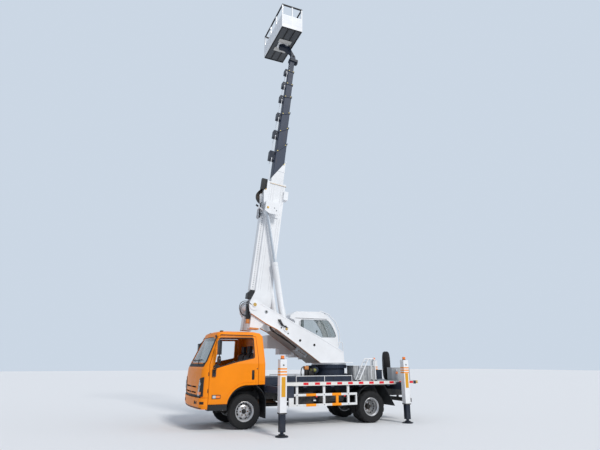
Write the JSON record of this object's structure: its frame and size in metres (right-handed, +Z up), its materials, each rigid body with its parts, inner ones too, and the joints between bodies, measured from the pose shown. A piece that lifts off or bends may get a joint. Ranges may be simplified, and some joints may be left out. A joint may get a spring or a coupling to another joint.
{
  "type": "truck-mounted telescopic cherry picker",
  "caption": "Light cab-over truck with a slewing turret, a telescopic boom with a work basket, an operator's cabin and four outriggers.",
  "frame": {"origin": "on the ground under the middle of the truck's length and of the front outriggers' spread", "axes": "+X rearwards, +Y to the truck's right, +Z up"},
  "size_m": [5.9948, 4.67, 12.2],
  "materials": {
    "cab_paint": "glossy orange-yellow",
    "white_paint": "glossy white",
    "slate_paint": "satin dark slate",
    "chassis_black": "satin black",
    "navy_paint": "satin dark navy",
    "deck_plate": "chequer plate",
    "tyre": "matt",
    "rim_silver": "silver paint",
    "glass": "clear",
    "black_plastic": "grained",
    "interior": "grained",
    "lamp": "clear cover",
    "cast_dark": "rough",
    "galvanised": "galvanised",
    "rod_chrome": "polished",
    "tank_grey": "satin"
  },
  "bodies": {
    "truck": {"chassis_frame": "chassis_black", "subframe": "chassis_black", "slew_base": "chassis_black", "deck": "deck_plate", "side_guards": "white_paint", "front_axle": "cast_dark", "rear_axle": "cast_dark", "engine": "cast_dark", "cab_shell": "cab_paint", "front_bumper": "cab_paint", "lamps": "lamp", "mudguards": "black_plastic", "cab_interior": "interior", "cab_glass": "glass", "tanks": "tank_grey", "toolbox": "galvanised", "ladder": "white_paint", "spare_wheel": "tyre", "rear_jack_boxes": "white_paint"},
    "left_cab_door": {"left_door": "cab_paint", "left_mirrors": "black_plastic"},
    "right_cab_door": {"right_door": "cab_paint", "right_mirrors": "black_plastic"},
    "left_steering": {"left_knuckle": "cast_dark"},
    "right_steering": {"right_knuckle": "cast_dark"},
    "turret": {"turret_post": "white_paint", "oil_tank": "white_paint", "operator_cabin": "white_paint", "operator_glass": "glass", "operator_seat": "interior"},
    "cabin_door": {"operator_door": "white_paint"},
    "boom": {"base_boom": "white_paint", "hose_reel": "black_plastic"},
    "cylinder_barrels": {"luff_barrels": "white_paint"},
    "cylinder_rods": {"luff_rods": "rod_chrome"},
    "basket_level": {"level_bracket": "navy_paint"},
    "work_basket": {"basket": "white_paint"},
    "gate": {"basket_gate": "white_paint"},
    "left_outrigger": {"left_front_beam": "white_paint"},
    "right_outrigger": {"right_front_beam": "white_paint"},
    "boom_2": {"boom_section_2": "white_paint"},
    "boom_3": {"boom_section_3": "slate_paint"},
    "boom_4": {"boom_section_4": "slate_paint"},
    "boom_5": {"boom_section_5": "slate_paint"},
    "boom_6": {"boom_section_6": "slate_paint"},
    "boom_7": {"boom_section_7": "slate_paint"},
    "boom_8": {"boom_section_8": "slate_paint"},
    "boom_9": {"boom_section_9": "slate_paint"},
    "front_left_wheel": {"front_left_tyre": "tyre", "front_left_rim": "rim_silver"},
    "front_right_wheel": {"front_right_tyre": "tyre", "front_right_rim": "rim_silver"},
    "rear_left_wheel": {"rear_left_tyre": "tyre", "rear_left_rim": "rim_silver"},
    "rear_right_wheel": {"rear_right_tyre": "tyre", "rear_right_rim": "rim_silver"},
    "left_front_jack": {"left_front_leg": "navy_paint"},
    "right_front_jack": {"right_front_leg": "navy_paint"},
    "left_rear_jack": {"left_rear_leg": "navy_paint"},
    "right_rear_jack": {"right_rear_leg": "navy_paint"}
  },
  "joints": [
    {"name": "left_door_swing", "type": "hinge", "parent": "truck", "child": "left_cab_door", "pos_m": [-2.7425, -0.955, 1.3], "axis": [0, 0, -1], "range_deg": [0, 65]},
    {"name": "right_door_swing", "type": "hinge", "parent": "truck", "child": "right_cab_door", "pos_m": [-2.7425, 0.955, 1.3], "axis": [0, 0, 1], "range_deg": [0, 65]},
    {"name": "left_steer", "type": "hinge", "parent": "truck", "child": "left_steering", "pos_m": [-1.8525, -0.63, 0.385], "axis": [0, 0, 1], "range_deg": [-35, 35]},
    {"name": "right_steer", "type": "hinge", "parent": "truck", "child": "right_steering", "pos_m": [-1.8525, 0.63, 0.385], "axis": [0, 0, 1], "range_deg": [-35, 35]},
    {"name": "front_left_roll", "type": "hinge", "parent": "left_steering", "child": "front_left_wheel", "pos_m": [-1.8525, -0.75, 0.385], "axis": [0, 1, 0], "continuous": true},
    {"name": "front_right_roll", "type": "hinge", "parent": "right_steering", "child": "front_right_wheel", "pos_m": [-1.8525, 0.75, 0.385], "axis": [0, 1, 0], "continuous": true},
    {"name": "rear_left_roll", "type": "hinge", "parent": "truck", "child": "rear_left_wheel", "pos_m": [1.5075, -0.715, 0.385], "axis": [0, 1, 0], "continuous": true},
    {"name": "rear_right_roll", "type": "hinge", "parent": "truck", "child": "rear_right_wheel", "pos_m": [1.5075, 0.715, 0.385], "axis": [0, 1, 0], "continuous": true},
    {"name": "slew", "type": "hinge", "parent": "truck", "child": "turret", "pos_m": [0.7625, 0, 1.43], "axis": [0, 0, 1], "range_deg": [-180, 180]},
    {"name": "cabin_door_swing", "type": "hinge", "parent": "turret", "child": "cabin_door", "pos_m": [0.4385, 1.156, 2.2], "axis": [0, 0, 1], "range_deg": [0, 85]},
    {"name": "luff", "type": "hinge", "parent": "turret", "child": "boom", "pos_m": [-1.5575, 0, 2.9], "axis": [0, 1, 0], "range_deg": [-2, 83.5]},
    {"name": "barrel_swing", "type": "hinge", "parent": "turret", "child": "cylinder_barrels", "pos_m": [-0.6775, 0, 2.31], "axis": [0, 1, 0], "range_deg": [-3, 83]},
    {"name": "rod_slide", "type": "slide", "parent": "cylinder_barrels", "child": "cylinder_rods", "axis": [-0.1678, 0, 0.9858], "range_m": [-1.43, 0.05]},
    {"name": "telescope_2", "type": "slide", "parent": "boom", "child": "boom_2", "axis": [0.1132, 0, 0.9936], "range_m": [-0.24, 2.3]},
    {"name": "telescope_3", "type": "slide", "parent": "boom_2", "child": "boom_3", "axis": [0.1132, 0, 0.9936], "range_m": [-0.24, 2.3]},
    {"name": "telescope_4", "type": "slide", "parent": "boom_3", "child": "boom_4", "axis": [0.1132, 0, 0.9936], "range_m": [-0.24, 2.3]},
    {"name": "telescope_5", "type": "slide", "parent": "boom_4", "child": "boom_5", "axis": [0.1132, 0, 0.9936], "range_m": [-0.24, 2.3]},
    {"name": "telescope_6", "type": "slide", "parent": "boom_5", "child": "boom_6", "axis": [0.1132, 0, 0.9936], "range_m": [-0.24, 2.3]},
    {"name": "telescope_7", "type": "slide", "parent": "boom_6", "child": "boom_7", "axis": [0.1132, 0, 0.9936], "range_m": [-0.24, 2.3]},
    {"name": "telescope_8", "type": "slide", "parent": "boom_7", "child": "boom_8", "axis": [0.1132, 0, 0.9936], "range_m": [-0.24, 2.3]},
    {"name": "telescope_9", "type": "slide", "parent": "boom_8", "child": "boom_9", "axis": [0.1132, 0, 0.9936], "range_m": [-0.24, 2.3]},
    {"name": "basket_levelling", "type": "hinge", "parent": "boom_9", "child": "basket_level", "pos_m": [-0.3699, 0, 10.98251], "axis": [0, 1, 0], "range_deg": [-84, 3]},
    {"name": "basket_swing", "type": "hinge", "parent": "basket_level", "child": "work_basket", "pos_m": [-0.7175, 0, 11.33], "axis": [0, 0, 1], "range_deg": [-90, 90]},
    {"name": "gate_swing", "type": "hinge", "parent": "work_basket", "child": "gate", "pos_m": [-1.0615, -0.264, 11.8], "axis": [0, 0, 1], "range_deg": [0, 100]},
    {"name": "left_outrigger_slide", "type": "slide", "parent": "truck", "child": "left_outrigger", "axis": [0, 1, 0], "range_m": [0, 1.09]},
    {"name": "right_outrigger_slide", "type": "slide", "parent": "truck", "child": "right_outrigger", "axis": [0, -1, 0], "range_m": [0, 1.09]},
    {"name": "left_front_jack_lift", "type": "slide", "parent": "left_outrigger", "child": "left_front_jack", "axis": [0, 0, 1], "range_m": [0, 0.38]},
    {"name": "right_front_jack_lift", "type": "slide", "parent": "right_outrigger", "child": "right_front_jack", "axis": [0, 0, 1], "range_m": [0, 0.38]},
    {"name": "left_rear_jack_lift", "type": "slide", "parent": "truck", "child": "left_rear_jack", "axis": [0, 0, 1], "range_m": [0, 0.38]},
    {"name": "right_rear_jack_lift", "type": "slide", "parent": "truck", "child": "right_rear_jack", "axis": [0, 0, 1], "range_m": [0, 0.38]}
  ],
  "couplings": [
    {"joint": "right_steer", "follows": "left_steer", "ratio": 1},
    {"joint": "barrel_swing", "follows": "luff", "ratio": 0.98466},
    {"joint": "rod_slide", "follows": "luff", "m_per_rad": -0.9674},
    {"joint": "basket_levelling", "follows": "luff", "ratio": -1},
    {"joint": "telescope_3", "follows": "telescope_2", "ratio": 1},
    {"joint": "telescope_4", "follows": "telescope_2", "ratio": 1},
    {"joint": "telescope_5", "follows": "telescope_2", "ratio": 1},
    {"joint": "telescope_6", "follows": "telescope_2", "ratio": 1},
    {"joint": "telescope_7", "follows": "telescope_2", "ratio": 1},
    {"joint": "telescope_8", "follows": "telescope_2", "ratio": 1},
    {"joint": "telescope_9", "follows": "telescope_2", "ratio": 1}
  ]
}
